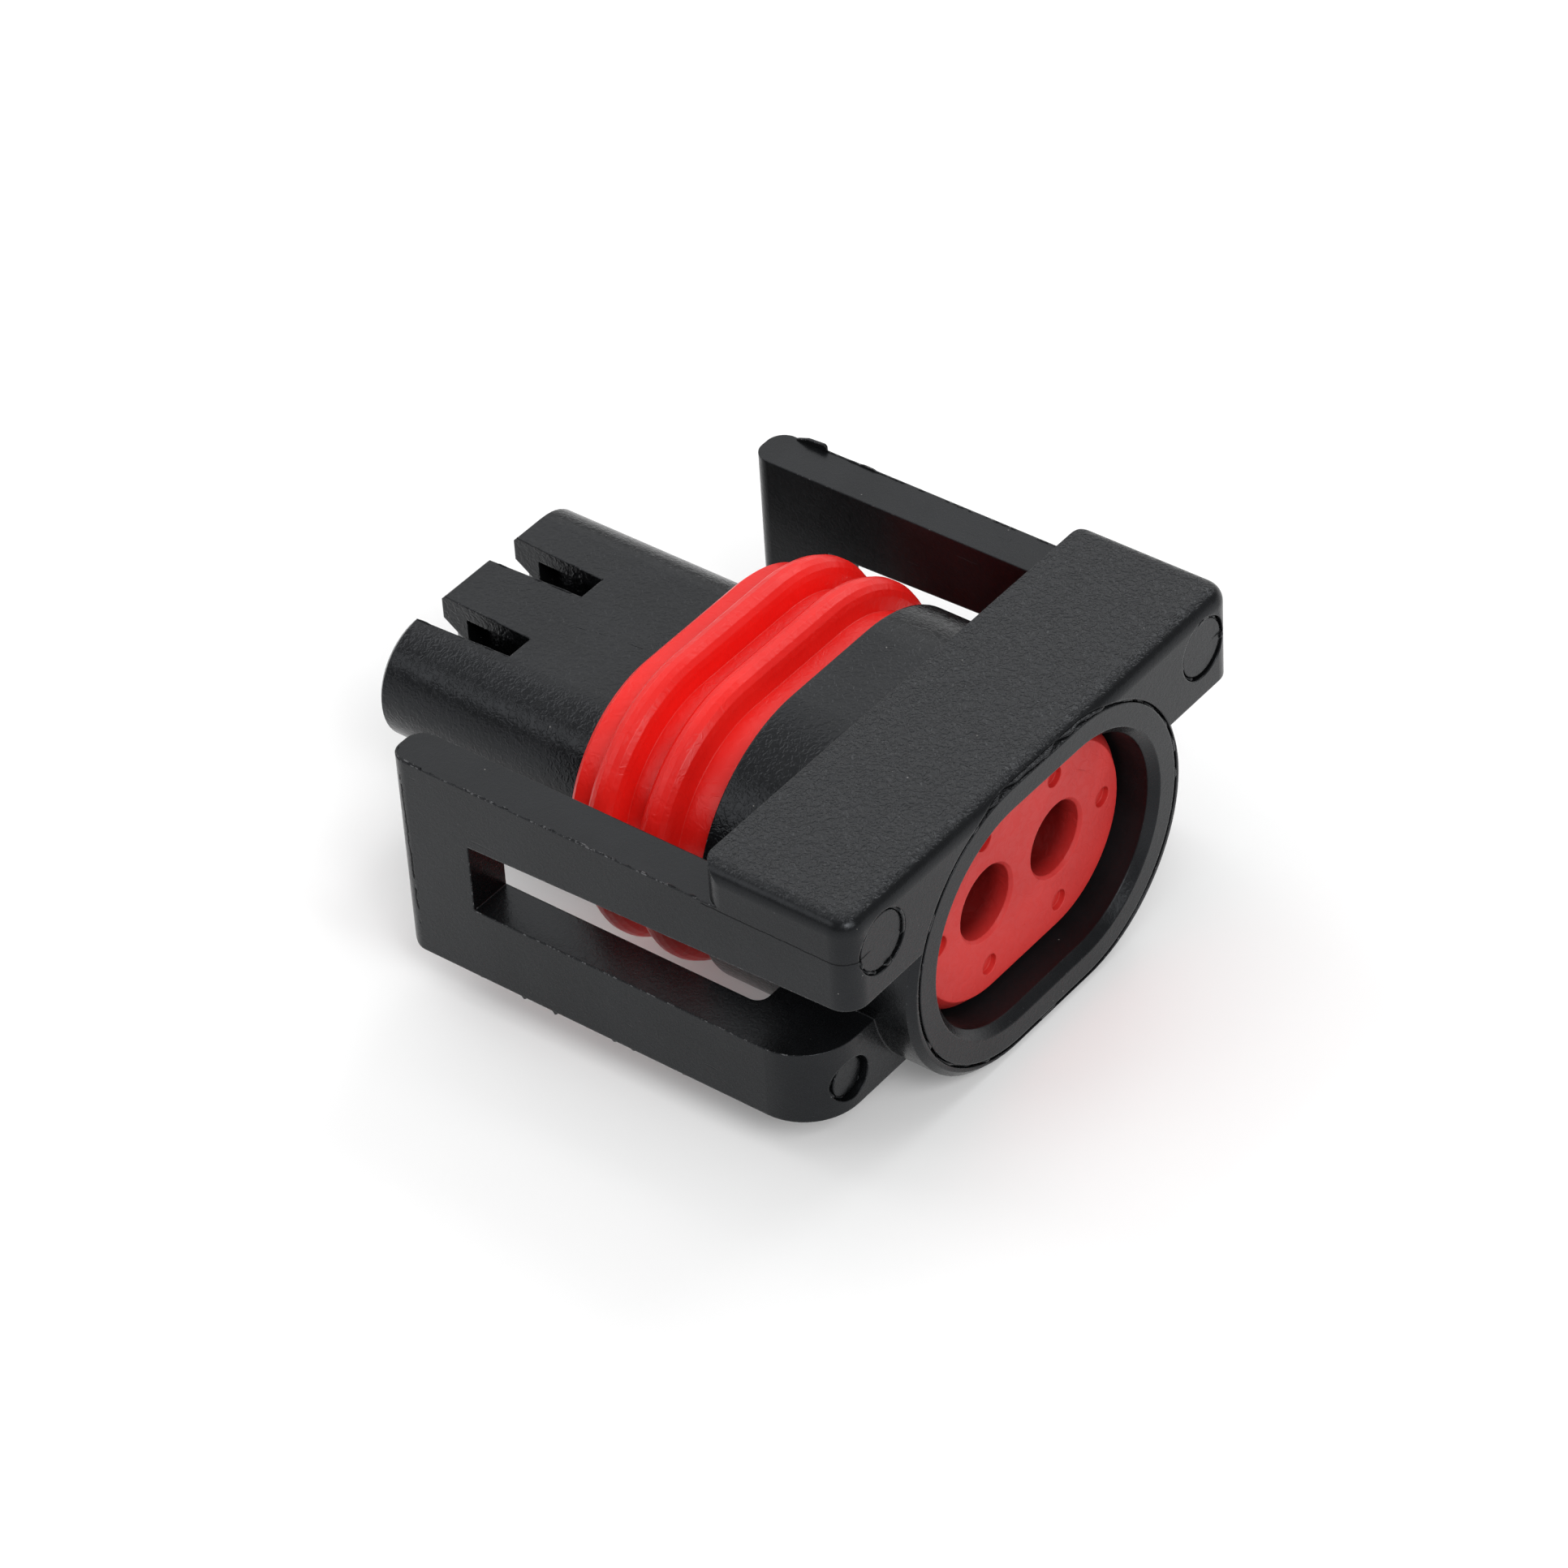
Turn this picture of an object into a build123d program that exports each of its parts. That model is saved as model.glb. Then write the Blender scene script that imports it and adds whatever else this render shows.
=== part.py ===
# Two-way sealed sensor connector plug: a moulded housing, the ring seal round its core
# and the seal for the two wires. It is modelled empty, as it is supplied, with no terminals.
# X runs across the plug, +Y is the way it goes into the sensor and +Z is up.
# The origin is on the mating axis, in the plane of the rear face. Sizes are in millimetres.

import os

from build123d import *

# Terminals
terminal_pitch = 5.15
cavity_width = 3.4
cavity_height = 3.8

# Rear tube, with the pocket for the wire seal
pocket_width = 15.8
pocket_height = 11.0
pocket_depth = 9.4
tube_side_wall = 2.1
tube_wall = 1.8
tube_drop = 0.2
tube_length = 11.5
tube_edge_chamfer = 0.3
rim_wall = 1.5
rim_chamfer = 0.4
rim_groove_width = 0.16
rim_groove_depth = 0.3

# Core under the ring seal
core_width = 16.2
core_height = 9.9
core_length = 7.8
core_drop = 0.12

# Nose: its two ends are rounded differently, so the plug goes in one way up
nose_left = 6.45
nose_right = 8.05
nose_top = 2.66
nose_bottom = -3.6
nose_right_radius = 2.6
nose_length = 13.3
nose_front_wall = 1.5
nose_edge_chamfer = 0.2
slot_width = 1.5
slot_mouth_width = 1.95
slot_length = 5.4
blade_opening_width = 1.7
blade_opening_height = 0.9
blade_lead_in = 32.0

# Bar across the top
bar_width = 28.0
bar_length = 7.9
bar_cover = 0.4
bar_height = 4.8
bar_corner_round = 1.1
bar_top_round = 0.8

# Side arms with their latch windows
arm_thickness = 2.2
arm_reach = 25.1
arm_top = 5.3
arm_bottom = -5.45
arm_end_round = 0.9
arm_toe_round = 1.0
window_sill = -1.62
window_front = 20.9
window_head = 2.0
window_head_slope = 0.6
heel_rear = 2.2
heel_thickness = 4.6
heel_round = 2.8
heel_inner_round = 0.6

# Ejector marks on the rear faces
bar_mark_radius = 1.4
bar_mark_inset = 2.3
bar_mark_drop = 2.2
heel_mark_radius = 0.95
heel_mark_inset = 2.45
heel_mark_rise = 1.65
bar_mark_sink = 0.1
heel_mark_sink = 0.3
mark_gap = 0.16
mark_gap_depth = 0.25

# Ring seal
ring_wall = 1.05
ring_front_wall = 1.3
rib_pitch = 2.85
rib_width = 1.8
rib_height = 1.25
rib_crest_radius = 0.75
rib_crest_sides = 16
front_rib_setback = 2.2
ring_edge_chamfer = 0.3

# Wire seal
seal_recess = 1.5
seal_clearance = 0.3
seal_face_chamfer = 0.5
seal_lip_count = 3
seal_lip_width = 1.2
wire_hole_radius = 1.8
wire_hole_mouth_chamfer = 0.15
wire_hole_straight = 2.6
wire_lip_radius = 1.25
wire_lip_length = 1.4
dimple_radius = 0.5
dimple_depth = 0.3
dimple_rise = 3.5
dimple_reach = 6.0

# Sizes that follow from the ones above
tube_width = pocket_width + 2 * tube_side_wall
tube_height = pocket_height + 2 * tube_wall
rim_width = pocket_width + 2 * rim_wall
rim_height = pocket_height + 2 * rim_wall
core_front = tube_length + core_length
nose_front = core_front + nose_length
nose_left_radius = (nose_top - nose_bottom) / 2
bar_top = rim_height / 2 + bar_cover
bar_bottom = bar_top - bar_height
arm_outer = bar_width / 2
arm_inner = arm_outer - arm_thickness
heel_front = heel_rear + heel_thickness
wire_places = [(-terminal_pitch / 2, 0), (terminal_pitch / 2, 0)]


def station(y):
    """Plane across the plug at y. Its sketch runs along X and Z and extrudes towards the rear."""
    return Plane.XZ.offset(-y)


def window_head_at(y):
    """Height of the window's head on the outer face: it falls evenly from the bar's underside."""
    return bar_bottom + (window_head - bar_bottom) * y / window_front


# Bar: rounded along its rear edge, its ends and its corners, and sharp along its front edge
with BuildPart() as bar:
    with BuildSketch(Plane.YZ):
        with BuildLine():
            Polyline(
                (0, bar_bottom),
                (bar_length, window_head_at(bar_length)),
                (bar_length, bar_top),
                (0, bar_top),
                close=True,
            )
        make_face()
    extrude(amount=bar_width / 2, both=True)
    fillet(bar.edges().filter_by(Axis.Z).group_by(Axis.Y)[0], radius=bar_corner_round)
    top_edges = bar.faces().sort_by(Axis.Z)[-1].edges()
    fillet(top_edges.sort_by(Axis.Y)[:-1], radius=bar_top_round)

    # The front corners are cut through the rounded top edge
    with BuildSketch():
        Rectangle(bar_width, bar_length, align=(Align.CENTER, Align.MIN))
        fillet(vertices().group_by(Axis.Y)[-1], radius=bar_corner_round)
    extrude(amount=bar_top, mode=Mode.INTERSECT)

# Right arm: an upright plate whose heel turns in towards the tube below the latch window
with BuildPart() as arm:
    with BuildSketch(Plane.YZ):
        with Locations((heel_rear, arm_bottom)):
            Rectangle(arm_reach - heel_rear, arm_top - arm_bottom, align=Align.MIN)
        fillet(vertices().sort_by_distance((arm_reach, arm_bottom))[0], radius=arm_toe_round)
    extrude(amount=arm_outer)
    with BuildSketch(Plane.XY.offset(arm_bottom)):
        with BuildLine():
            Polyline(
                (0, heel_rear),
                (arm_outer, heel_rear),
                (arm_outer, arm_reach),
                (arm_inner, arm_reach),
                (arm_inner, heel_front),
                (0, heel_front),
                close=True,
            )
        make_face()
        fillet(vertices().group_by(Axis.Y)[-1], radius=arm_end_round)
        fillet(vertices().sort_by_distance((arm_outer, heel_rear))[0], radius=heel_round)
        fillet(vertices().sort_by_distance((arm_inner, heel_front))[0], radius=heel_inner_round)
    extrude(amount=arm_top - arm_bottom, mode=Mode.INTERSECT)

    # Gap over the heel, below the bar
    with BuildSketch(Plane.YZ):
        with BuildLine():
            Polyline(
                (heel_rear, window_sill),
                (bar_length, window_sill),
                (bar_length, window_head_at(bar_length)),
                (heel_rear, window_head_at(heel_rear)),
                close=True,
            )
        make_face()
    extrude(amount=arm_outer, mode=Mode.SUBTRACT)

    # Latch window: its head slopes down towards the nose
    for x, drop in ((arm_outer, 0), (arm_inner, window_head_slope)):
        with BuildSketch(Plane.YZ.offset(x)):
            with BuildLine():
                Polyline(
                    (bar_length, window_sill),
                    (window_front, window_sill),
                    (window_front, window_head - drop),
                    (bar_length, window_head_at(bar_length) - drop),
                    close=True,
                )
            make_face()
    loft(mode=Mode.SUBTRACT)

with BuildPart() as housing:
    # Rear tube, set a little lower than its pocket
    with BuildSketch(station(tube_length)):
        with Locations((0, -tube_drop)):
            SlotOverall(tube_width, tube_height)
    extrude(amount=tube_length)
    chamfer(housing.faces().sort_by(Axis.Y)[0].edges(), length=tube_edge_chamfer)

    # The bar takes the tube's place along its rounded rear edge
    with Locations((0, 0, bar_bottom)):
        Box(
            tube_width,
            bar_top_round,
            bar_height,
            align=(Align.CENTER, Align.MIN, Align.MIN),
            mode=Mode.SUBTRACT,
        )
    add(bar.part)
    add(arm.part)
    mirror(arm.part, about=Plane.YZ)

    # Flat rim round the pocket, which stands proud of the bar's rounded edge
    with BuildSketch(station(bar_top_round)):
        SlotOverall(rim_width, rim_height)
    extrude(amount=bar_top_round)

    # Core for the ring seal, which also sits a little lower
    with BuildSketch(station(core_front)):
        with Locations((0, -core_drop)):
            SlotOverall(core_width, core_height)
    extrude(amount=core_length)

    # Nose
    with BuildSketch(station(nose_front)):
        with BuildLine():
            top_line = Line(
                (nose_left_radius - nose_left, nose_top),
                (nose_right - nose_right_radius, nose_top),
            )
            RadiusArc(top_line @ 1, (nose_right, nose_top - nose_right_radius), nose_right_radius)
            Line((nose_right, nose_top - nose_right_radius), (nose_right, nose_bottom + nose_right_radius))
            RadiusArc(
                (nose_right, nose_bottom + nose_right_radius),
                (nose_right - nose_right_radius, nose_bottom),
                nose_right_radius,
            )
            bottom_line = Line(
                (nose_right - nose_right_radius, nose_bottom),
                (nose_left_radius - nose_left, nose_bottom),
            )
            RadiusArc(bottom_line @ 1, top_line @ 0, nose_left_radius)
        make_face()
    extrude(amount=nose_length)
    chamfer(housing.faces().sort_by(Axis.Y)[-1].edges(), length=nose_edge_chamfer)

    # Pocket for the wire seal, with a chamfered mouth
    with BuildSketch(station(0)):
        SlotOverall(pocket_width, pocket_height)
    extrude(amount=-pocket_depth, mode=Mode.SUBTRACT)
    with BuildSketch(station(0)):
        SlotOverall(pocket_width + 2 * rim_chamfer, pocket_height + 2 * rim_chamfer)
    extrude(amount=-rim_chamfer, taper=45, mode=Mode.SUBTRACT)

    # Parting groove round the rim
    with BuildSketch(station(0)):
        SlotOverall(rim_width + 2 * rim_groove_width, rim_height + 2 * rim_groove_width)
        SlotOverall(rim_width, rim_height, mode=Mode.SUBTRACT)
    extrude(amount=-rim_groove_depth, mode=Mode.SUBTRACT)

    # Terminal cavities, from the pocket's floor to the front wall
    cavity_front = nose_front - nose_front_wall
    with BuildSketch(station(cavity_front)):
        with Locations(*wire_places):
            Rectangle(cavity_width, cavity_height)
    extrude(amount=cavity_front - pocket_depth, mode=Mode.SUBTRACT)

    # Openings for the blades, which flare towards the front
    with BuildSketch(station(cavity_front)):
        with Locations(*wire_places):
            Rectangle(blade_opening_width, blade_opening_height)
    extrude(amount=-nose_front_wall, taper=-blade_lead_in, mode=Mode.SUBTRACT)

    # Slots that split the nose's top wall into three fingers
    with BuildSketch(Plane.XY):
        for x, _ in wire_places:
            with BuildLine():
                Polyline(
                    (x - slot_width / 2, nose_front - slot_length),
                    (x + slot_width / 2, nose_front - slot_length),
                    (x + slot_mouth_width / 2, nose_front),
                    (x - slot_mouth_width / 2, nose_front),
                    close=True,
                )
            make_face()
    extrude(amount=nose_top, mode=Mode.SUBTRACT)

    # Ejector marks: a sunk disc in a narrow ring, on the bar's rear face and on both heels
    marks = (
        (bar_mark_sink, bar_mark_radius, arm_outer - bar_mark_inset, bar_top - bar_mark_drop),
        (
            heel_rear + heel_mark_sink,
            heel_mark_radius,
            arm_outer - heel_mark_inset,
            arm_bottom + heel_mark_rise,
        ),
    )
    for face_y, radius, x, z in marks:
        floor_y = face_y + mark_gap_depth
        with BuildSketch(station(floor_y)):
            with Locations((-x, z), (x, z)):
                Circle(radius + mark_gap)
        extrude(amount=floor_y, mode=Mode.SUBTRACT)
        with BuildSketch(station(floor_y)):
            with Locations((-x, z), (x, z)):
                Circle(radius)
        extrude(amount=mark_gap_depth)

# One rib of the ring seal: straight flanks that run into a crest of short flats
with BuildSketch() as rib:
    with Locations((0, ring_wall + rib_height - rib_crest_radius)):
        RegularPolygon(
            rib_crest_radius,
            rib_crest_sides,
            major_radius=False,
            rotation=180 / rib_crest_sides,
        )
    with Locations((0, ring_wall / 2)):
        Rectangle(rib_width, ring_wall)
    make_hull()

with BuildPart() as interface_seal:
    # Outline of the core, which the seal's section follows
    flat = (core_width - core_height) / 2
    bend = core_height / 2
    core_top = bend - core_drop
    core_bottom = -bend - core_drop
    with BuildLine(station(tube_length)) as core_outline:
        Line((-flat, core_top), (flat, core_top))
        ThreePointArc((flat, core_top), (flat + bend, -core_drop), (flat, core_bottom))
        Line((flat, core_bottom), (-flat, core_bottom))
        ThreePointArc((-flat, core_bottom), (-flat - bend, -core_drop), (-flat, core_top))

    # Section: its x runs forward from the shoulder and its y runs out from the core
    front_rib = core_length - front_rib_setback
    section_plane = Plane(origin=(-flat, tube_length, core_top), x_dir=(0, 1, 0), z_dir=(1, 0, 0))
    with BuildSketch(section_plane):
        Rectangle(core_length, ring_wall, align=Align.MIN)
        with Locations((front_rib, 0)):
            Rectangle(front_rib_setback, ring_front_wall, align=Align.MIN)
        corners = [(0, ring_wall), (core_length, ring_front_wall)]
        chamfer([vertices().sort_by_distance(corner)[0] for corner in corners], length=ring_edge_chamfer)
        with Locations((front_rib, 0), (front_rib - rib_pitch, 0)):
            add(rib.sketch)
    sweep(path=core_outline.wire())

with BuildPart() as wire_seal:
    # Body, a little smaller than the pocket
    body_width = pocket_width - 2 * seal_clearance
    body_height = pocket_height - 2 * seal_clearance
    seal_length = pocket_depth - seal_recess
    with BuildSketch(station(pocket_depth)):
        SlotOverall(body_width, body_height)
    extrude(amount=seal_length)
    chamfer(wire_seal.faces().sort_by(Axis.Y)[0].edges(), length=seal_face_chamfer)

    # Lips that touch the pocket's wall
    lip_pitch = seal_length / seal_lip_count
    for index in range(seal_lip_count):
        with BuildSketch(station(pocket_depth - index * lip_pitch)):
            SlotOverall(pocket_width, pocket_height)
        extrude(amount=seal_lip_width)

    # Wire holes: each has a lip further in, which closes on the wire
    seal_face = station(seal_recess)
    with BuildSketch(seal_face):
        with Locations(*wire_places):
            Circle(wire_hole_radius)
    extrude(amount=-seal_length, mode=Mode.SUBTRACT)
    mouth_edges = wire_seal.faces().sort_by(Axis.Y)[0].edges().filter_by(GeomType.CIRCLE)
    chamfer(mouth_edges.group_by(SortBy.RADIUS)[0], length=wire_hole_mouth_chamfer)
    with BuildSketch(station(seal_recess + wire_hole_straight)):
        with Locations(*wire_places):
            Circle(wire_hole_radius)
            Circle(wire_lip_radius, mode=Mode.SUBTRACT)
    extrude(amount=-wire_lip_length)

    # Dimples round the holes
    dimple_places = [(x, side * dimple_rise) for x, _ in wire_places for side in (-1, 1)]
    dimple_places += [(-dimple_reach, 0), (dimple_reach, 0)]
    with BuildSketch(seal_face):
        with Locations(*dimple_places):
            Circle(dimple_radius)
    extrude(amount=-dimple_depth, mode=Mode.SUBTRACT)

housing.part.label = "housing"
interface_seal.part.label = "interface_seal"
wire_seal.part.label = "wire_seal"

os.makedirs("parts", exist_ok=True)
for piece in (housing, interface_seal, wire_seal):
    export_step(piece.part, f"parts/{piece.part.label}.step")
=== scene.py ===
import bpy
import bmesh
import math
from mathutils import Matrix, Vector
from mathutils.noise import noise as drift


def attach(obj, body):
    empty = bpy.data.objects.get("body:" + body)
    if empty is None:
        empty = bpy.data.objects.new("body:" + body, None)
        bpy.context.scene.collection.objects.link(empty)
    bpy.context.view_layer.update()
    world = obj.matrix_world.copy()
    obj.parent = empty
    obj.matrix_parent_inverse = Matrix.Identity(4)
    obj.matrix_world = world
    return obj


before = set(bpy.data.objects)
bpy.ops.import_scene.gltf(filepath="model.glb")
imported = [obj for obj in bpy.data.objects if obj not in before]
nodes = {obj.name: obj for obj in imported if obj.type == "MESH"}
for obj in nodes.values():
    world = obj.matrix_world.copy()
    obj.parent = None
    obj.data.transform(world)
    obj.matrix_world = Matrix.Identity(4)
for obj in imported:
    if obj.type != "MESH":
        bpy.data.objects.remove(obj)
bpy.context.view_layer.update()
print("frame loaded:", sorted(nodes))

mm = 0.001    # sizes and places below are in millimetres

# camera: fitted to the photograph
camera = {
    "place": (-169.93, -127.38, 182.93),
    "right": (0.60675, -0.79323, -0.05148),
    "up": (0.53254, 0.35756, 0.76718),
    "forward": (0.59014, 0.49290, -0.63937),
    "lens": 149.07,
    "sensor": 36,
    "clip": (0.01, 20),    # metres
}


def makeCamera():
    data = bpy.data.cameras.new("camera")
    data.lens = camera["lens"]
    data.sensor_width = camera["sensor"]
    data.clip_start, data.clip_end = camera["clip"]
    obj = bpy.data.objects.new("camera", data)
    bpy.context.scene.collection.objects.link(obj)
    axes = Matrix((camera["right"], camera["up"], [-c for c in camera["forward"]])).transposed()
    obj.matrix_world = Matrix.Translation(Vector(camera["place"]) * mm) @ axes.to_4x4()
    bpy.context.scene.camera = obj


makeCamera()
print("camera placed")

# studio: soft boxes, all aimed at the plug
studio = {
    "overhead": {"place": (0, 60, 430), "size": (420, 420), "power": 0.32},
    "back": {"place": (0, 420, 330), "size": (320, 260), "power": 0.57},
    "rightBack": {"place": (295, 259, 320), "size": (420, 320), "power": 0.42},
    "right": {"place": (380, 20, 330), "size": (300, 240), "power": 0.62},
    "front": {"place": (-120, -380, 360), "size": (300, 240), "power": 0.9},
    "frontLeft": {"place": (-200, -255, 340), "size": (160, 160), "power": 0.43},
    "leftBack": {"place": (-295, 240, 270), "size": (240, 170), "power": 0.22},
}
studioAim = (0, 14, 0)
roomLook = {"level": 0.35}    # even light from all round


def makeLamp(name, lamp):
    data = bpy.data.lights.new(name, "AREA")
    data.shape = "RECTANGLE"
    data.size = lamp["size"][0] * mm
    data.size_y = lamp["size"][1] * mm
    data.energy = lamp["power"]
    obj = bpy.data.objects.new(name, data)
    bpy.context.scene.collection.objects.link(obj)
    place = Vector(lamp["place"]) * mm
    obj.location = place
    obj.rotation_euler = (Vector(studioAim) * mm - place).to_track_quat("-Z", "Y").to_euler()


for lampName, lamp in studio.items():
    makeLamp(lampName, lamp)


# small helpers for node trees
def join(tree, a, b):
    tree.links.new(a, b)


def feed(tree, value, socket):
    if hasattr(value, "is_output"):
        join(tree, value, socket)
    else:
        socket.default_value = value


def calc(tree, operation, *values):
    node = tree.nodes.new("ShaderNodeMath")
    node.operation = operation
    for socket, value in zip(node.inputs, values):
        feed(tree, value, socket)
    return node.outputs[0]


def ease(tree, value, low, high, toLow=0.0, toHigh=1.0):
    node = tree.nodes.new("ShaderNodeMapRange")
    node.interpolation_type = "SMOOTHSTEP"
    values = {"Value": value, "From Min": low, "From Max": high, "To Min": toLow, "To Max": toHigh}
    for socketName, v in values.items():
        feed(tree, v, node.inputs[socketName])
    return node.outputs["Result"]


def cloud(tree, vector, scale, detail=2.0, rough=0.5, distortion=0.0):
    node = tree.nodes.new("ShaderNodeTexNoise")
    join(tree, vector, node.inputs["Vector"])
    values = {"Scale": scale, "Detail": detail, "Roughness": rough, "Distortion": distortion}
    for socketName, v in values.items():
        feed(tree, v, node.inputs[socketName])
    return node.outputs["Fac"]


def product(tree, first, *others):
    for value in others:
        first = calc(tree, "MULTIPLY", first, value)
    return first


def blendColour(tree, share, a, b):
    node = tree.nodes.new("ShaderNodeMix")
    node.data_type = "RGBA"
    for socket, v in ((node.inputs[0], share), (node.inputs[6], a), (node.inputs[7], b)):
        feed(tree, v, socket)
    return node.outputs[2]


def stretch(tree, vector, scale):
    node = tree.nodes.new("ShaderNodeVectorMath")
    node.operation = "MULTIPLY"
    join(tree, vector, node.inputs[0])
    node.inputs[1].default_value = scale
    return node.outputs[0]


def startMaterial(name):
    mat = bpy.data.materials.new(name)
    mat.use_nodes = True
    tree = mat.node_tree
    shader = tree.nodes["Principled BSDF"]
    coord = tree.nodes.new("ShaderNodeTexCoord")
    scale = tree.nodes.new("ShaderNodeVectorMath")    # object coordinates in millimetres
    scale.operation = "SCALE"
    scale.inputs["Scale"].default_value = 1 / mm
    join(tree, coord.outputs["Object"], scale.inputs[0])
    return mat, tree, shader, scale.outputs[0]


def seenShare(tree):
    # 1 for what the camera, gloss and glass see of the background
    path = tree.nodes.new("ShaderNodeLightPath")
    both = calc(tree, "MAXIMUM", path.outputs["Is Camera Ray"], path.outputs["Is Glossy Ray"])
    return calc(tree, "MAXIMUM", both, path.outputs["Is Transmission Ray"])


def makeRoom():
    world = bpy.data.worlds.new("room")
    bpy.context.scene.world = world
    world.use_nodes = True
    tree = world.node_tree
    tree.nodes.clear()
    grey = tree.nodes.new("ShaderNodeBackground")
    grey.inputs["Color"].default_value = (1, 1, 1, 1)
    grey.inputs["Strength"].default_value = roomLook["level"]
    out = tree.nodes.new("ShaderNodeOutputWorld")
    join(tree, grey.outputs[0], out.inputs["Surface"])
    bpy.context.scene.view_settings.view_transform = "Standard"


makeRoom()
print("studio lit")

# floor: a round sheet of white paper, curved up far away
floorLook = {
    "height": -7.6, "segments": 64, "paint": 0.8, "paintSeen": 0.97, "glow": 1.0,
    "shadowShare": 0.85, "shadowFrom": 80, "shadowTo": 170,    # the shadow seen, and where it fades out
    "profile": [(200, 0), (1300, 0), (1400, 15), (1470, 60), (1500, 130), (1500, 260)],
}


def makeFloor():
    sheet = bmesh.new()
    count = floorLook["segments"]
    rings = []
    turns = [2 * math.pi * i / count for i in range(count)]
    for radius, rise in floorLook["profile"]:
        z = floorLook["height"] + rise
        corners = [Vector((radius * math.cos(a), radius * math.sin(a), z)) for a in turns]
        rings.append([sheet.verts.new(corner * mm) for corner in corners])
    sheet.faces.new(rings[0])
    for inner, outer in zip(rings, rings[1:]):
        for i in range(count):
            j = (i + 1) % count
            sheet.faces.new((inner[i], outer[i], outer[j], inner[j]))
    mesh = bpy.data.meshes.new("floor")
    sheet.to_mesh(mesh)
    sheet.free()
    obj = bpy.data.objects.new("floor", mesh)
    bpy.context.scene.collection.objects.link(obj)
    mat, tree, shader, place = startMaterial("floorPaper")
    tree.nodes.remove(shader)
    away = tree.nodes.new("ShaderNodeVectorMath")
    away.operation = "LENGTH"
    join(tree, place, away.inputs[0])
    share = ease(
        tree, away.outputs["Value"], floorLook["shadowFrom"], floorLook["shadowTo"],
        1 - floorLook["shadowShare"], 1,
    )
    paper = tree.nodes.new("ShaderNodeBsdfDiffuse")
    paper.inputs["Color"].default_value = [floorLook["paint"]] * 3 + [1]
    paperSeen = tree.nodes.new("ShaderNodeBsdfDiffuse")
    paperSeen.inputs["Color"].default_value = [floorLook["paintSeen"]] * 3 + [1]
    glow = tree.nodes.new("ShaderNodeEmission")
    glow.inputs["Color"].default_value = (1, 1, 1, 1)
    glow.inputs["Strength"].default_value = floorLook["glow"]
    mixSeen = tree.nodes.new("ShaderNodeMixShader")
    join(tree, share, mixSeen.inputs[0])
    join(tree, paperSeen.outputs[0], mixSeen.inputs[1])
    join(tree, glow.outputs[0], mixSeen.inputs[2])
    mix = tree.nodes.new("ShaderNodeMixShader")
    join(tree, seenShare(tree), mix.inputs[0])
    join(tree, paper.outputs[0], mix.inputs[1])
    join(tree, mixSeen.outputs[0], mix.inputs[2])
    join(tree, mix.outputs[0], tree.nodes["Material Output"].inputs["Surface"])
    mesh.materials.append(mat)


makeFloor()
print("floor laid")


# effects that several materials share
def newGroup(name, inputs, outputs):
    group = bpy.data.node_groups.new(name, "ShaderNodeTree")
    for socketName, kind, value in inputs:
        socket = group.interface.new_socket(name=socketName, in_out="INPUT", socket_type=kind)
        if value is not None:
            socket.default_value = value
    for socketName, kind in outputs:
        group.interface.new_socket(name=socketName, in_out="OUTPUT", socket_type=kind)
    return group, group.nodes.new("NodeGroupInput"), group.nodes.new("NodeGroupOutput")


grainShape = {
    "wrinkles": {"detail": 1.5, "rough": 0.5, "distortion": 1.2},
    "grit": {"detail": 2.0, "rough": 0.6, "distortion": 0.2},
    "patches": {"detail": 3.0, "rough": 0.55},
    "patchScale": 0.07,    # of the wrinkles' scale
    "ridge": (0.36, 0.68),
}


def makeGrainGroup():
    # spark-eroded mould grain: short wrinkles over fine grit
    group, into, out = newGroup(
        "mouldGrain",
        [("Place", "NodeSocketVector", None), ("Wrinkle Size", "NodeSocketFloat", 0.2),
         ("Grit Size", "NodeSocketFloat", 0.08), ("Grit Share", "NodeSocketFloat", 0.6)],
        [("Height", "NodeSocketFloat"), ("Patches", "NodeSocketFloat")],
    )
    place = into.outputs["Place"]
    wrinkleScale = calc(group, "DIVIDE", 1.0, into.outputs["Wrinkle Size"])
    gritScale = calc(group, "DIVIDE", 1.0, into.outputs["Grit Size"])
    patchScale = calc(group, "MULTIPLY", wrinkleScale, grainShape["patchScale"])
    wrinkles = cloud(group, place, wrinkleScale, **grainShape["wrinkles"])
    grit = cloud(group, place, gritScale, **grainShape["grit"])
    patches = cloud(group, place, patchScale, **grainShape["patches"])
    ridge = ease(group, wrinkles, *grainShape["ridge"])
    height = calc(group, "ADD", ridge, calc(group, "MULTIPLY", grit, into.outputs["Grit Share"]))
    join(group, height, out.inputs["Height"])
    join(group, patches, out.inputs["Patches"])
    return group


edgeShape = {
    "bevelSamples": 8,
    "turn": (0.995, 0.86),    # cosine between the rounded and the true normal: no edge, full edge
    "specks": {"detail": 3.0, "rough": 0.65, "distortion": 0.3},
    "speckBlur": 0.12,
}


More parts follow.
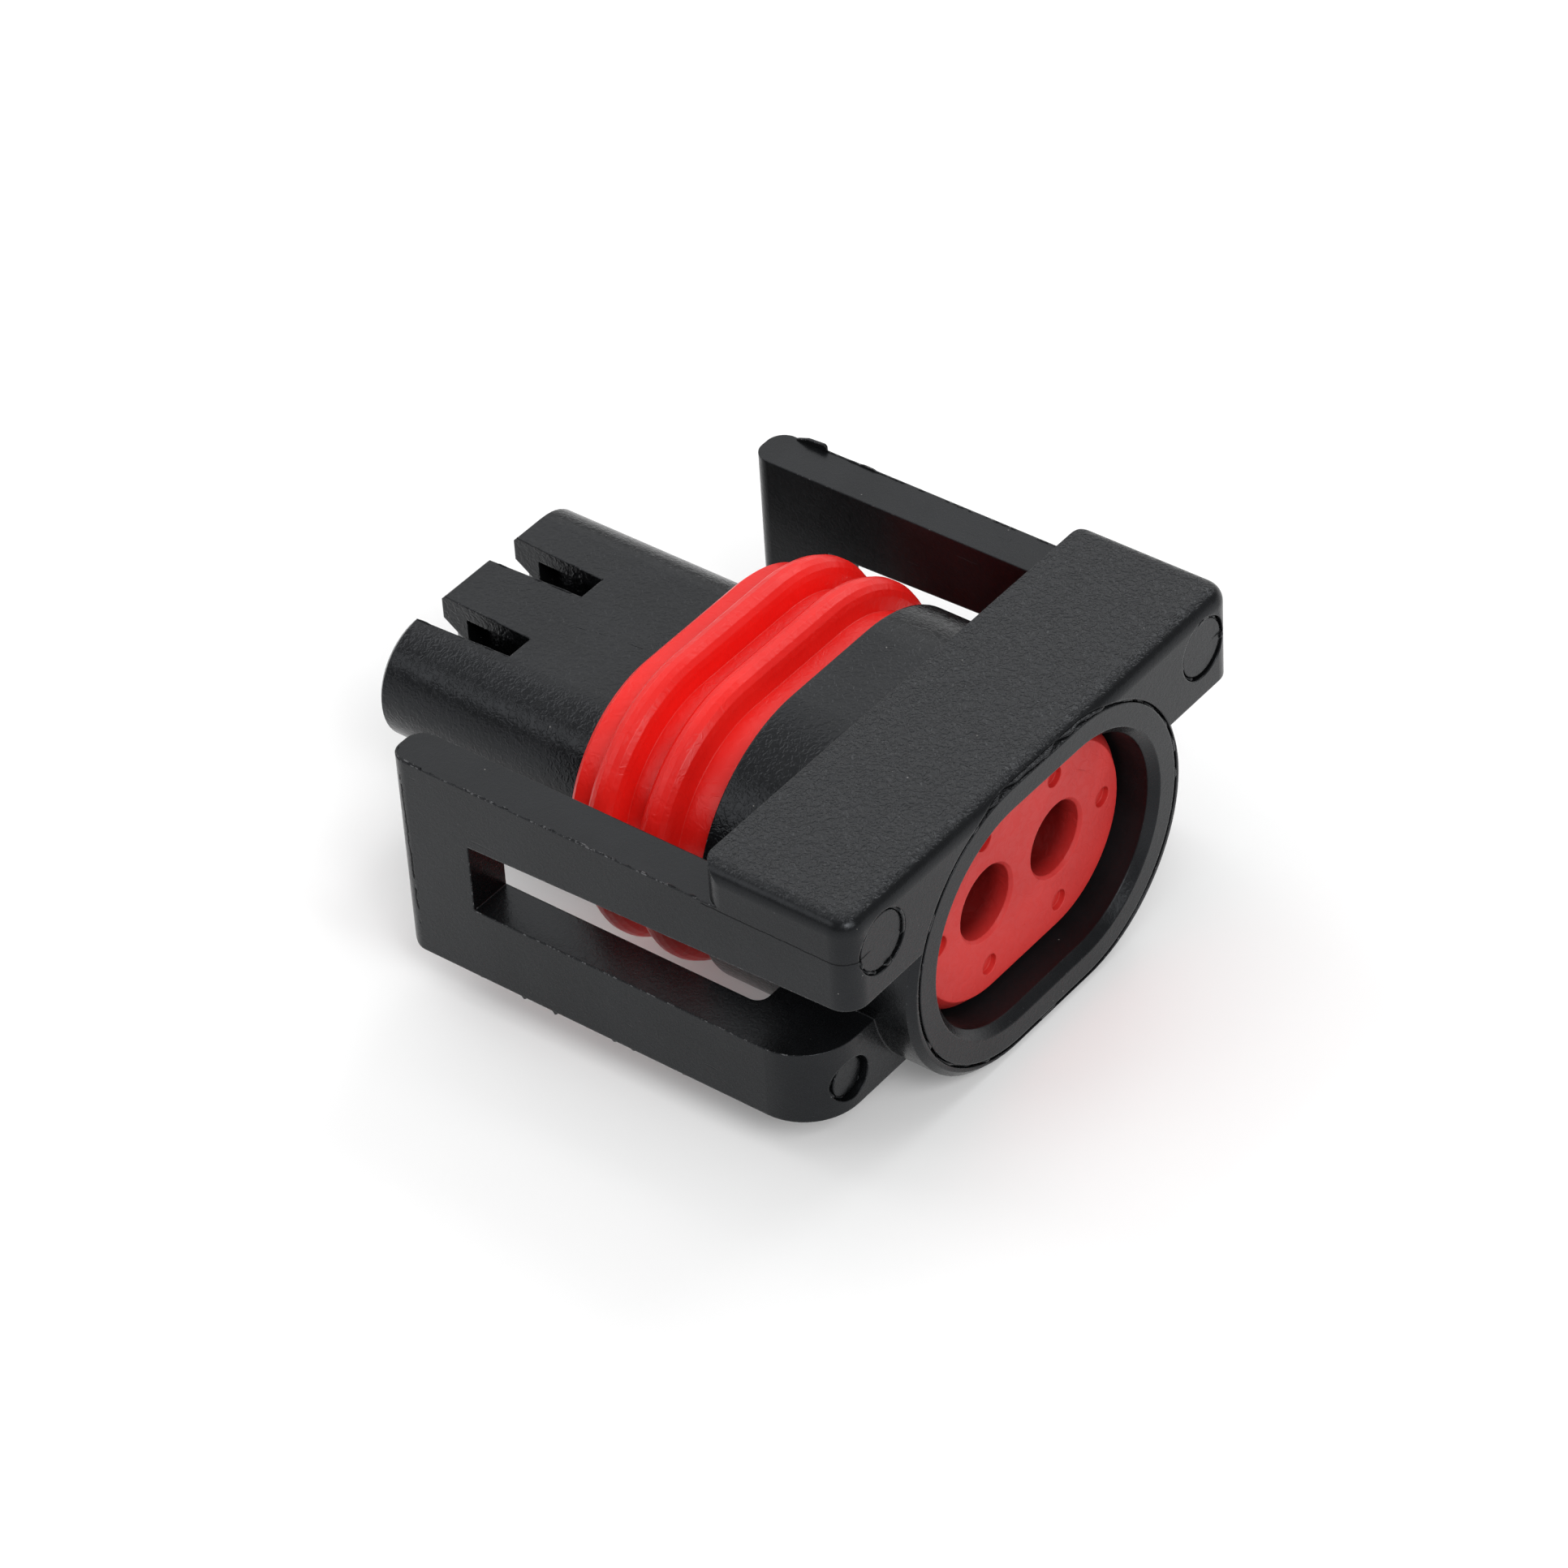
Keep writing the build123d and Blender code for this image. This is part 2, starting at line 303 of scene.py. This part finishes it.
def makeEdgeGroup():
    # edge wear and painted highlight: where a rounded normal leaves the true one, broken up by noise
    group, into, out = newGroup(
        "edgeWearAndHighlight",
        [("Place", "NodeSocketVector", None), ("Radius", "NodeSocketFloat", 0.1),
         ("Break Up", "NodeSocketFloat", 0.6), ("Break Size", "NodeSocketFloat", 0.25)],
        [("Mask", "NodeSocketFloat"), ("Line", "NodeSocketFloat"), ("Rounded Normal", "NodeSocketVector")],
    )
    bevel = group.nodes.new("ShaderNodeBevel")
    bevel.samples = edgeShape["bevelSamples"]
    join(group, calc(group, "MULTIPLY", into.outputs["Radius"], mm), bevel.inputs["Radius"])
    true = group.nodes.new("ShaderNodeNewGeometry")
    dot = group.nodes.new("ShaderNodeVectorMath")
    dot.operation = "DOT_PRODUCT"
    join(group, bevel.outputs["Normal"], dot.inputs[0])
    join(group, true.outputs["Normal"], dot.inputs[1])
    line = ease(group, dot.outputs["Value"], *edgeShape["turn"])
    breakScale = calc(group, "DIVIDE", 1.0, into.outputs["Break Size"])
    specks = cloud(group, into.outputs["Place"], breakScale, **edgeShape["specks"])
    breakUp = into.outputs["Break Up"]
    kept = ease(group, specks, breakUp, calc(group, "ADD", breakUp, edgeShape["speckBlur"]))
    join(group, calc(group, "MULTIPLY", line, kept), out.inputs["Mask"])
    join(group, line, out.inputs["Line"])
    join(group, bevel.outputs["Normal"], out.inputs["Rounded Normal"])
    return group


scuffShape = {
    "hairs": [
        {"stretch": (9.0, 0.35, 3.0), "bend": 0.8, "cut": (0.73, 0.78)},
        {"stretch": (0.5, 8.0, 2.6), "bend": 0.9, "cut": (0.75, 0.8)},
    ],
    "hairDetail": 1.0, "hairRough": 0.4,
    "patchScale": 0.3, "patchDetail": 2.0, "patchCut": (0.5, 0.62),
    "dustCells": 1.3, "dustChosen": (0.82, 0.84), "dustSize": (0.055, 0.03),
}


def makeScuffGroup():
    # handling marks: fine hairlines two ways and a few specks of dust
    group, into, out = newGroup(
        "handling",
        [("Place", "NodeSocketVector", None), ("Hairlines", "NodeSocketFloat", 0.5),
         ("Dust", "NodeSocketFloat", 0.5)],
        [("Scratch", "NodeSocketFloat"), ("Dust", "NodeSocketFloat")],
    )
    place = into.outputs["Place"]
    ways = []
    for hair in scuffShape["hairs"]:
        stretched = stretch(group, place, hair["stretch"])
        waves = cloud(
            group, stretched, 1.0, scuffShape["hairDetail"], scuffShape["hairRough"], hair["bend"],
        )
        ways.append(ease(group, waves, *hair["cut"]))
    patches = cloud(group, place, scuffShape["patchScale"], scuffShape["patchDetail"])
    patch = ease(group, patches, *scuffShape["patchCut"])
    hairs = product(group, calc(group, "MAXIMUM", *ways), patch, into.outputs["Hairlines"])
    cells = group.nodes.new("ShaderNodeTexVoronoi")
    join(group, place, cells.inputs["Vector"])
    cells.inputs["Scale"].default_value = scuffShape["dustCells"]
    picked = group.nodes.new("ShaderNodeSeparateColor")
    join(group, cells.outputs["Color"], picked.inputs[0])
    chosen = ease(group, picked.outputs[0], *scuffShape["dustChosen"])
    specks = ease(group, cells.outputs["Distance"], *scuffShape["dustSize"])
    join(group, hairs, out.inputs["Scratch"])
    join(group, product(group, specks, chosen, into.outputs["Dust"]), out.inputs["Dust"])
    return group


grainGroup = makeGrainGroup()
edgeGroup = makeEdgeGroup()
scuffGroup = makeScuffGroup()
print("shared effects built")


def placeGroup(tree, group, place, values):
    node = tree.nodes.new("ShaderNodeGroup")
    node.node_tree = group
    join(tree, place, node.inputs["Place"])
    for key, v in values.items():
        feed(tree, v, node.inputs[key])
    return node


housingLook = {
    "base": (0.0034, 0.0037, 0.0041, 1),
    "pale": (0.0062, 0.0066, 0.0073, 1),
    "patches": (0.35, 0.65),
    "grained": (0.013, 0.0135, 0.0145, 1),
    # worn: pale edge specks, partly wear and partly a painted highlight along edges
    "worn": (0.16, 0.16, 0.165, 1),
    "dust": (0.22, 0.21, 0.20, 1),
    "inLines": (0.0005, 0.0005, 0.0005, 1),
    "specular": 0.255,
    "tint": (0.9, 0.94, 1.0, 1),
    "grainedRough": 0.24, "satinRough": 0.19, "polishedRough": 0.3, "pocketRough": 0.45,
    "roughByGrain": 0.05, "roughByScratch": 0.12, "roughInLines": 0.4,
    "grain": {"Wrinkle Size": 0.26, "Grit Size": 0.1, "Grit Share": 0.3},
    "grainDepth": 0.045, "grainOnTop": 1.0, "grainOnSides": 0.05, "grainOnNose": 0.2, "grainPolished": 0.06,
    "marks": {"Hairlines": 0.5, "Dust": 0.8}, "scratchDepth": 0.4,
    "edgeRadius": 0.11, "wearInside": 0.6, "wearOutside": 0.52, "wearSize": 0.22,
}
# where each finish begins and where it is full
zones = {
    "barFront": (8.1, 7.9), "barHeight": (5.9, 6.6), "barFacing": (0.75, 0.95),
    "ahead": (7.9, 8.3), "middle": (10.9, 10.5), "inwardFrom": (10.9, 11.3), "inwardTo": (11.9, 11.82),
    "pocketRear": (0.1, 0.9), "pocketFront": (11, 10.9), "pocketWall": (7.2, 6.7),
    "outermost": (13.6, 13.8),
    "pocketFlat": 2.4,    # half the length of the pocket's centre line
}
partingLook = {
    "height": 5.18, "front": (7.85, 7.8), "ends": (12.4, 12.9),
    "halfWidth": 0.05, "depth": 2.5, "waver": 0.12,
}
witnessLook = {
    "front": 24.32, "lean": 0.03, "top": (4.5, 4.4), "bottom": (-4.3, -4.2), "arms": (13.9, 13.95),
    "halfWidth": 0.07, "depth": 4.0, "waver": 0.3,
}
lineNoise = {
    "wave": {"scale": 2.2, "detail": 3.0, "rough": 0.6}, "middle": 0.5,
    "breaks": {"scale": 1.1, "detail": 2.0}, "breakCut": (0.38, 0.45), "core": 0.4,
}


def band(tree, value, halfWidth):
    return ease(tree, calc(tree, "ABSOLUTE", value), halfWidth, halfWidth * lineNoise["core"])


def mouldLines(tree, place, across, y, z):
    # parting line round the bar's ends, and the ragged witness line near the front of each arm
    waver = calc(tree, "SUBTRACT", cloud(tree, place, **lineNoise["wave"]), lineNoise["middle"])
    breaks = ease(tree, cloud(tree, place, **lineNoise["breaks"]), *lineNoise["breakCut"])
    aboveLine = calc(tree, "SUBTRACT", z, partingLook["height"])
    offLine = calc(tree, "ADD", aboveLine, calc(tree, "MULTIPLY", waver, partingLook["waver"]))
    parting = product(
        tree, band(tree, offLine, partingLook["halfWidth"]),
        ease(tree, y, *partingLook["front"]), ease(tree, across, *partingLook["ends"]),
    )
    front = calc(tree, "ADD", witnessLook["front"], calc(tree, "MULTIPLY", z, witnessLook["lean"]))
    aheadOfLine = calc(tree, "SUBTRACT", y, front)
    offLine = calc(tree, "ADD", aheadOfLine, calc(tree, "MULTIPLY", waver, witnessLook["waver"]))
    witness = product(
        tree, band(tree, offLine, witnessLook["halfWidth"]), breaks,
        ease(tree, z, *witnessLook["top"]), ease(tree, z, *witnessLook["bottom"]),
        ease(tree, across, *witnessLook["arms"]),
    )
    return parting, witness


def pocketReach(tree, across, z):
    # distance from the pocket's centre line
    besides = calc(tree, "MAXIMUM", calc(tree, "SUBTRACT", across, zones["pocketFlat"]), 0.0)
    squares = calc(tree, "ADD", product(tree, besides, besides), product(tree, z, z))
    return calc(tree, "SQRT", squares)


def housingZones(tree, across, y, z):
    # grained bar top, satin nose and tube, polished faces between the arms and the nose, and the pocket
    geometry = tree.nodes.new("ShaderNodeNewGeometry")
    facing = tree.nodes.new("ShaderNodeSeparateXYZ")
    join(tree, geometry.outputs["Normal"], facing.inputs[0])
    barTop = product(
        tree, ease(tree, y, *zones["barFront"]), ease(tree, facing.outputs[2], *zones["barFacing"]),
        ease(tree, z, *zones["barHeight"]),
    )
    ahead = ease(tree, y, *zones["ahead"])
    middle = product(tree, ahead, ease(tree, across, *zones["middle"]))
    inward = product(
        tree, ahead, ease(tree, across, *zones["inwardFrom"]), ease(tree, across, *zones["inwardTo"]),
    )
    inPocket = product(
        tree, ease(tree, y, *zones["pocketRear"]), ease(tree, y, *zones["pocketFront"]),
        ease(tree, pocketReach(tree, across, z), *zones["pocketWall"]),
    )
    return barTop, middle, inward, inPocket


def addShare(tree, value, mask, share):
    return calc(tree, "ADD", value, calc(tree, "MULTIPLY", mask, share))


def makeHousingPlastic():
    look = housingLook
    mat, tree, shader, place = startMaterial("housingPlastic")
    split = tree.nodes.new("ShaderNodeSeparateXYZ")
    join(tree, place, split.inputs[0])
    x, y, z = split.outputs
    across = calc(tree, "ABSOLUTE", x)
    breakUp = ease(tree, across, *zones["outermost"], look["wearInside"], look["wearOutside"])
    edgeValues = {"Radius": look["edgeRadius"], "Break Up": breakUp, "Break Size": look["wearSize"]}
    grain = placeGroup(tree, grainGroup, place, look["grain"])
    edge = placeGroup(tree, edgeGroup, place, edgeValues)
    scuff = placeGroup(tree, scuffGroup, place, look["marks"])
    barTop, middle, inward, inPocket = housingZones(tree, across, y, z)
    parting, witness = mouldLines(tree, place, across, y, z)
    lines = calc(tree, "MAXIMUM", parting, witness)

    patches = ease(tree, grain.outputs["Patches"], *look["patches"])
    colour = blendColour(tree, patches, look["base"], look["pale"])
    colour = blendColour(tree, barTop, colour, look["grained"])
    # pale edges: partly wear, partly painted highlight
    colour = blendColour(tree, edge.outputs["Mask"], colour, look["worn"])
    colour = blendColour(tree, scuff.outputs["Dust"], colour, look["dust"])
    colour = blendColour(tree, lines, colour, look["inLines"])
    join(tree, colour, shader.inputs["Base Color"])

    rough = ease(tree, middle, 0, 1, look["grainedRough"], look["satinRough"])
    rough = ease(tree, inward, 0, 1, rough, look["polishedRough"])
    rough = ease(tree, inPocket, 0, 1, rough, look["pocketRough"])
    rough = addShare(tree, rough, grain.outputs["Height"], look["roughByGrain"])
    rough = addShare(tree, rough, scuff.outputs["Scratch"], look["roughByScratch"])
    rough = addShare(tree, rough, lines, look["roughInLines"])
    join(tree, rough, shader.inputs["Roughness"])
    shader.inputs["Specular IOR Level"].default_value = look["specular"]
    shader.inputs["Specular Tint"].default_value = look["tint"]

    amount = ease(tree, barTop, 0, 1, look["grainOnSides"], look["grainOnTop"])
    amount = ease(tree, middle, 0, 1, amount, look["grainOnNose"])
    amount = ease(tree, calc(tree, "MAXIMUM", inward, inPocket), 0, 1, amount, look["grainPolished"])
    height = calc(tree, "MULTIPLY", grain.outputs["Height"], amount)
    height = addShare(tree, height, parting, -partingLook["depth"])
    height = addShare(tree, height, witness, -witnessLook["depth"])
    height = addShare(tree, height, scuff.outputs["Scratch"], -look["scratchDepth"])
    bump = tree.nodes.new("ShaderNodeBump")
    bump.inputs["Distance"].default_value = look["grainDepth"] * mm
    join(tree, height, bump.inputs["Height"])
    join(tree, edge.outputs["Rounded Normal"], bump.inputs["Normal"])
    join(tree, bump.outputs["Normal"], shader.inputs["Normal"])
    return mat


sealLook = {
    "ring": {
        "base": (0.82, 0.014, 0.01, 1), "deep": (0.7, 0.008, 0.006, 1),
        "rough": 0.3, "radius": 0.07, "specular": 0.3,
    },
    "wire": {
        "base": (0.66, 0.032, 0.028, 1), "deep": (0.54, 0.02, 0.018, 1),
        "rough": 0.47, "radius": 0.09, "specular": 0.4,
        # inner: painted shade colour for inside the wire holes and the dimples
        "inner": (0.15, 0.0022, 0.0016, 1), "innerDepth": (1.55, 2.8),
    },
}
sealSkin = {
    "grain": {"Wrinkle Size": 0.5, "Grit Size": 0.12, "Grit Share": 0.5},
    "depth": 0.008, "patches": (0.3, 0.7),
    "marks": {"Hairlines": 0.3, "Dust": 0.25}, "dust": (0.35, 0.01, 0.01, 1),
    # edge: painted highlight, a lighter red along every edge of the seals
    "wear": {"Break Up": 0.5, "Break Size": 0.4}, "edge": (0.95, 0.10, 0.08, 1), "edgeHighlightShare": 0.25,
    "roughByGrain": 0.08, "glow": 0.08, "reach": (1.0, 0.25, 0.2), "scale": 0.6,
}


def makeRubber(name, look):
    mat, tree, shader, place = startMaterial(name)
    grain = placeGroup(tree, grainGroup, place, sealSkin["grain"])
    edge = placeGroup(tree, edgeGroup, place, dict(sealSkin["wear"], Radius=look["radius"]))
    scuff = placeGroup(tree, scuffGroup, place, sealSkin["marks"])
    patches = ease(tree, grain.outputs["Patches"], *sealSkin["patches"])
    colour = blendColour(tree, patches, look["deep"], look["base"])
    # painted highlight: edges blend towards a lighter red
    edgeHighlightShare = calc(tree, "MULTIPLY", edge.outputs["Line"], sealSkin["edgeHighlightShare"])
    colour = blendColour(tree, edgeHighlightShare, colour, sealSkin["edge"])
    if "inner" in look:    # painted shade: a darker red inside the wire holes and the dimples, from the face inward
        split = tree.nodes.new("ShaderNodeSeparateXYZ")
        join(tree, place, split.inputs[0])
        colour = blendColour(tree, ease(tree, split.outputs[1], *look["innerDepth"]), colour, look["inner"])
    colour = blendColour(tree, scuff.outputs["Dust"], colour, sealSkin["dust"])
    join(tree, colour, shader.inputs["Base Color"])
    rough = addShare(tree, look["rough"], grain.outputs["Height"], sealSkin["roughByGrain"])
    join(tree, rough, shader.inputs["Roughness"])
    bump = tree.nodes.new("ShaderNodeBump")
    bump.inputs["Distance"].default_value = sealSkin["depth"] * mm
    height = calc(tree, "SUBTRACT", grain.outputs["Height"], scuff.outputs["Scratch"])
    join(tree, height, bump.inputs["Height"])
    join(tree, edge.outputs["Rounded Normal"], bump.inputs["Normal"])
    join(tree, bump.outputs["Normal"], shader.inputs["Normal"])
    shader.inputs["Specular IOR Level"].default_value = look["specular"]
    shader.inputs["Subsurface Weight"].default_value = sealSkin["glow"]
    shader.inputs["Subsurface Radius"].default_value = sealSkin["reach"]
    shader.inputs["Subsurface Scale"].default_value = sealSkin["scale"] * mm
    return mat


def dress(nodeName, mat):
    obj = nodes[nodeName]
    obj.data.materials.clear()
    obj.data.materials.append(mat)


housingPlastic = makeHousingPlastic()
ringRubber = makeRubber("ringRubber", sealLook["ring"])
wireSealRubber = makeRubber("wireSealRubber", sealLook["wire"])
dress("housing", housingPlastic)
dress("interface_seal", ringRubber)
dress("wire_seal", wireSealRubber)
print("nodes dressed")


# flash, nibs and mould marks: thin pieces of the same plastic and rubber
def addPiece(name, shape, mat):
    bmesh.ops.recalc_face_normals(shape, faces=shape.faces)
    mesh = bpy.data.meshes.new(name)
    shape.to_mesh(mesh)
    shape.free()
    mesh.materials.append(mat)
    obj = bpy.data.objects.new(name, mesh)
    bpy.context.scene.collection.objects.link(obj)
    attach(obj, "root")


toRight, toFront, toTop, toRear = (1, 0, 0), (0, 1, 0), (0, 0, 1), (0, -1, 0)
armSides = {"near": -1, "far": 1}
ridgeShape = {
    "step": 0.07, "ringStep": 0.06, "leastOnLine": 2, "leastOnArc": 4,
    "middle": 0.5, "lean": 0.5, "leanPace": 2.3,
}


def alongLine(start, end):
    start, end = Vector(start), Vector(end)
    count = max(ridgeShape["leastOnLine"], round((end - start).length / ridgeShape["step"]))
    return [start.lerp(end, i / count) for i in range(count + 1)]


def alongArc(centre, radius, startAngle, endAngle, u, v, step=ridgeShape["step"]):
    # angles in degrees, turning from u towards v
    turn = math.radians(endAngle - startAngle)
    count = max(ridgeShape["leastOnArc"], round(abs(turn) * radius / step))
    angles = [math.radians(startAngle) + turn * i / count for i in range(count + 1)]
    return [Vector(centre) + radius * (math.cos(a) * Vector(u) + math.sin(a) * Vector(v)) for a in angles]


def raggedRidge(name, path, outward, look, mat, closed=False):
    # a strip of flash whose top wanders and dips under the surface where it has broken off
    shape = bmesh.new()
    outward = Vector(outward)
    rows = []
    last = len(path) - 1
    for i, point in enumerate(path):
        before = path[i - 1] if i or closed else path[0]
        after = path[(i + 1) % len(path)] if i < last or closed else path[last]
        side = outward.cross(after - before).normalized() * look["width"] / 2
        spot = point * look["pace"] + Vector((look["seed"], 0, 0))
        share = min(1, max(0, ridgeShape["middle"] + look["swing"] * drift(spot)))
        top = look["low"] + (look["high"] - look["low"]) * share
        lean = side * ridgeShape["lean"] * drift(spot * ridgeShape["leanPace"])
        foot = outward * look["foot"]
        crest = outward * top + lean
        corners = (foot - side, crest - side * look["crest"], crest + side * look["crest"], foot + side)
        rows.append([shape.verts.new((point + corner) * mm) for corner in corners])
    for i in range(len(rows) if closed else last):
        near, far = rows[i], rows[(i + 1) % len(rows)]
        for j in range(len(near)):
            k = (j + 1) % len(near)
            shape.faces.new((near[j], near[k], far[k], far[j]))
    if not closed:
        shape.faces.new(rows[0])
        shape.faces.new(rows[last])
    addPiece(name, shape, mat)


def makeFin(name, outline, look, side, mat):
    # a thin fin on the outer face of an arm: its outline lies in Y and Z
    xInner, xOuter = side * look["inner"], side * look["outer"]
    shape = bmesh.new()
    start = [shape.verts.new(Vector((xInner, y, z)) * mm) for y, z in outline]
    face = shape.faces.new(start)
    made = bmesh.ops.extrude_face_region(shape, geom=[face])["geom"]
    moved = [v for v in made if isinstance(v, bmesh.types.BMVert)]
    bmesh.ops.translate(shape, verts=moved, vec=Vector((xOuter - xInner, 0, 0)) * mm)
    bmesh.ops.bevel(
        shape, geom=list(shape.edges), offset=look["rounding"] * mm, segments=2, profile=0.5,
        affect="EDGES",
    )
    addPiece(name, shape, mat)


armFlash = {
    "x": 13.926, "z": 5.3, "rear": 8.1, "front": 24.2,
    "bend": 0.826, "bendX": 13.1, "bendFrom": 180, "bendTo": 105,
    "tallRear": 18.35, "tallFront": 22.3, "cornerRear": 23.2,
    "worn": {
        "width": 0.09, "foot": -0.05, "low": -0.03, "high": 0.045,
        "crest": 0.4, "pace": 2.6, "swing": 1.6,
    },
    "tall": {
        "width": 0.1, "foot": -0.05, "low": 0.03, "high": 0.11,
        "crest": 0.4, "pace": 1.4, "swing": 1.2,
    },
    "seeds": {"near_arm_edge": 3, "near_arm_corner": 8, "far_arm_edge": 5, "far_arm_tall": 11},
}


def addArmStrip(stripName, path, kind):
    look = dict(armFlash[kind], seed=armFlash["seeds"][stripName])
    raggedRidge(f"flash_{stripName}", path, toTop, look, housingPlastic)


def makeArmFlash():
    x, z = armFlash["x"], armFlash["z"]
    rear, front, cornerRear = armFlash["rear"], armFlash["front"], armFlash["cornerRear"]
    tallRear, tallFront = armFlash["tallRear"], armFlash["tallFront"]
    corner = alongLine((-x, cornerRear, z), (-x, front, z))[:-1]
    corner += alongArc(
        (-armFlash["bendX"], front, z), armFlash["bend"], armFlash["bendFrom"], armFlash["bendTo"],
        toRight, toFront,
    )
    addArmStrip("near_arm_edge", alongLine((-x, rear, z), (-x, cornerRear, z)), "worn")
    addArmStrip("near_arm_corner", corner, "tall")
    addArmStrip("far_arm_edge", alongLine((x, rear, z), (x, tallRear, z)), "worn")
    addArmStrip("far_arm_tall", alongLine((x, tallRear, z), (x, tallFront, z)), "tall")


farNub = {
    "outline": [(22.28, 5.2), (22.3, 5.55), (22.42, 5.66), (23.35, 5.6), (24.0, 5.36), (24.05, 5.2)],
    "inner": 13.84, "outer": 13.998, "rounding": 0.03,
}
underBurrs = {
    # place along the arm and height
    "places": [(18.5, 0.16), (16.75, 0.2), (13.45, 0.12), (12.4, 0.09), (9.6, 0.07), (20.9, 0.06)],
    # along the arm, above the arm's edge, and the share of the height below it
    "profile": [(-0.28, 0.05, 0), (-0.1, 0, 0.7), (0, 0, 1), (0.09, 0, 0.45), (0.22, 0.05, 0)],
    "edge": -5.43, "inner": 13.88, "outer": 13.998, "rounding": 0.012,
}


def makeArmNibs():
    makeFin("nub_far_arm", farNub["outline"], farNub, armSides["far"], housingPlastic)
    edge = underBurrs["edge"]
    for i, (y, height) in enumerate(underBurrs["places"]):
        outline = [
            (y + along, edge + above - share * height)
            for along, above, share in underBurrs["profile"]
        ]
        for sideName, side in armSides.items():
            makeFin(f"burr_{sideName}_arm_{i}", outline, underBurrs, side, housingPlastic)


markFlash = {
    "bar": {
        "x": 11.7, "y": 0.0, "z": 5.2, "radius": 1.48,
        "width": 0.15, "foot": -0.34, "low": -0.34, "high": 0.0, "crest": 0.8, "pace": 1.7, "swing": 1.5,
    },
    "heel": {
        "x": 11.55, "y": 2.2, "z": -3.8, "radius": 1.03,
        "width": 0.15, "foot": -0.54, "low": -0.5, "high": -0.28, "crest": 0.8, "pace": 2.0, "swing": 1.5,
    },
}
markSeeds = {"near": 17, "far": 23}


def makeMarkFlash():
    for markName, mark in markFlash.items():
        for sideName, side in armSides.items():
            centre = (side * mark["x"], mark["y"], mark["z"])
            ring = alongArc(centre, mark["radius"], 0, 360, toRight, toTop, ridgeShape["ringStep"])[:-1]
            raggedRidge(
                f"flash_{markName}_mark_{sideName}", ring, toRear, dict(mark, seed=markSeeds[sideName]),
                housingPlastic, closed=True,
            )


rimFlash = {
    "halfWidth": 9.48, "halfHeight": 7.08, "seed": 31,
    "width": 0.15, "foot": -0.29, "low": -0.32, "high": 0.0, "crest": 0.75, "pace": 0.9, "swing": 1.3,
}


def makeRimFlash():
    radius = rimFlash["halfHeight"]
    flat = rimFlash["halfWidth"] - radius
    outline = alongLine((-flat, 0, radius), (flat, 0, radius))[:-1]
    outline += alongArc((flat, 0, 0), radius, 90, -90, toRight, toTop)[:-1]
    outline += alongLine((flat, 0, -radius), (-flat, 0, -radius))[:-1]
    outline += alongArc((-flat, 0, 0), radius, 270, 90, toRight, toTop)[:-1]
    raggedRidge("flash_rim_groove", outline, toRear, rimFlash, housingPlastic, closed=True)


noseMarks = {
    "z": 2.66, "slotRear": 27.2, "slotFront": 32.4, "halfRear": 0.79, "halfFront": 1.0,
    "slots": [
        {"centre": -2.575, "seeds": {"left": 50, "right": 52}},
        {"centre": 2.575, "seeds": {"left": 54, "right": 56}},
    ],
    "slotStrip": {
        "width": 0.08, "foot": -0.04, "low": -0.03, "high": 0.045,
        "crest": 0.4, "pace": 1.5, "swing": 1.4,
    },
    "flow": [(-0.1, 26.4), (0.14, 25.2), (0.34, 24.0), (0.41, 22.5)],
    "flowStrip": {
        "width": 0.08, "foot": -0.03, "low": -0.012, "high": 0.016,
        "crest": 0.3, "pace": 1.3, "swing": 1.2, "seed": 47,
    },
}


def makeNoseMarks():
    z = noseMarks["z"]
    for i, slot in enumerate(noseMarks["slots"]):
        for sideName, side in (("left", -1), ("right", 1)):
            start = (slot["centre"] + side * noseMarks["halfRear"], noseMarks["slotRear"], z)
            end = (slot["centre"] + side * noseMarks["halfFront"], noseMarks["slotFront"], z)
            raggedRidge(
                f"flash_slot_{i}_{sideName}", alongLine(start, end), toTop,
                dict(noseMarks["slotStrip"], seed=slot["seeds"][sideName]), housingPlastic,
            )
    path = []
    stops = [(x, y, z) for x, y in noseMarks["flow"]]
    for start, end in zip(stops, stops[1:]):
        path += alongLine(start, end)[:-1]
    raggedRidge("flow_line_nose", path, toTop, noseMarks["flowStrip"], housingPlastic)


sealMarks = {
    "face": 1.5, "arcCentre": (2.575, 0), "arcRadius": 3.2, "arcFrom": 74, "arcTo": 20,
    "scratch": ((-0.52, -3.05), (0.08, -3.12)), "nick": ((-0.42, 2.74), (-0.07, 2.63)),
    "strip": {
        "width": 0.07, "foot": -0.03, "low": -0.01, "high": 0.022,
        "crest": 0.3, "pace": 1.6, "swing": 1.2,
    },
    "seeds": {"arc": 61, "scratch": 63, "nick": 65},
}
ringNib = {
    "place": (-0.44, 13.4, 5.87), "length": 0.3, "seed": 77,
    "width": 0.2, "foot": -0.04, "low": 0.0, "high": 0.06, "crest": 0.4, "pace": 3.0, "swing": 1.2,
}


def addSealMark(markName, path):
    look = dict(sealMarks["strip"], seed=sealMarks["seeds"][markName])
    raggedRidge(f"mark_seal_{markName}", path, toRear, look, wireSealRubber)


def makeSealMarks():
    y = sealMarks["face"]
    x, z = sealMarks["arcCentre"]
    arc = alongArc(
        (x, y, z), sealMarks["arcRadius"], sealMarks["arcFrom"], sealMarks["arcTo"], toRight, toTop,
    )
    addSealMark("arc", arc)
    for markName in ("scratch", "nick"):
        (startX, startZ), (endX, endZ) = sealMarks[markName]
        addSealMark(markName, alongLine((startX, y, startZ), (endX, y, endZ)))
    x, y, z = ringNib["place"]
    path = alongLine((x, y, z), (x + ringNib["length"], y, z))
    raggedRidge("nib_ring_seal", path, toTop, ringNib, ringRubber)


makeArmFlash()
makeArmNibs()
makeMarkFlash()
makeRimFlash()
makeNoseMarks()
makeSealMarks()
print("flash and mould marks added")
